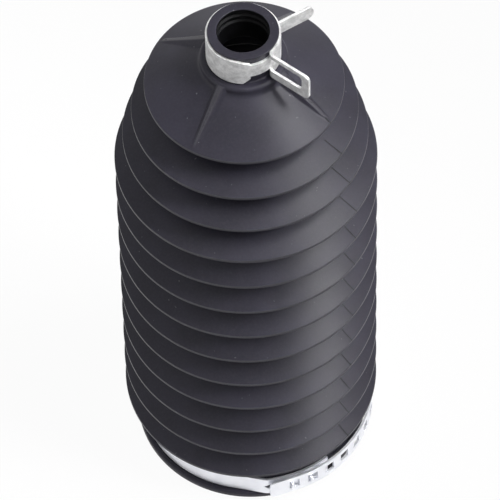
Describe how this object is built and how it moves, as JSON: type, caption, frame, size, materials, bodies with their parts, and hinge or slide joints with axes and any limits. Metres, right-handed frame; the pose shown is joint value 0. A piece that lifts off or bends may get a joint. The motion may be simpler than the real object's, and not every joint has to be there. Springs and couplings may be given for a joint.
{
  "type": "rubber bellows boot",
  "caption": "Black rubber bellows boot on end, its folds widening from a small ribbed neck with a spring clamp to a large open end with a windowed steel band clamp.",
  "frame": {"origin": "centre of the large end's flat lip, on the boot's axis, which stands on the ground", "axes": "+Z along the boot's axis from the large end to the small neck; the overlapped end of the band clamp faces -Y, and the small clamp's ears point towards +X"},
  "size_m": [0.0778, 0.0776, 0.1906],
  "materials": {
    "boot_rubber": "matte",
    "spring_steel": "satin",
    "band_steel": "satin"
  },
  "bodies": {
    "root": {"bellows_boot": "boot_rubber", "neck_spring_clamp": "spring_steel", "base_band_clamp": "band_steel"}
  },
  "joints": []
}
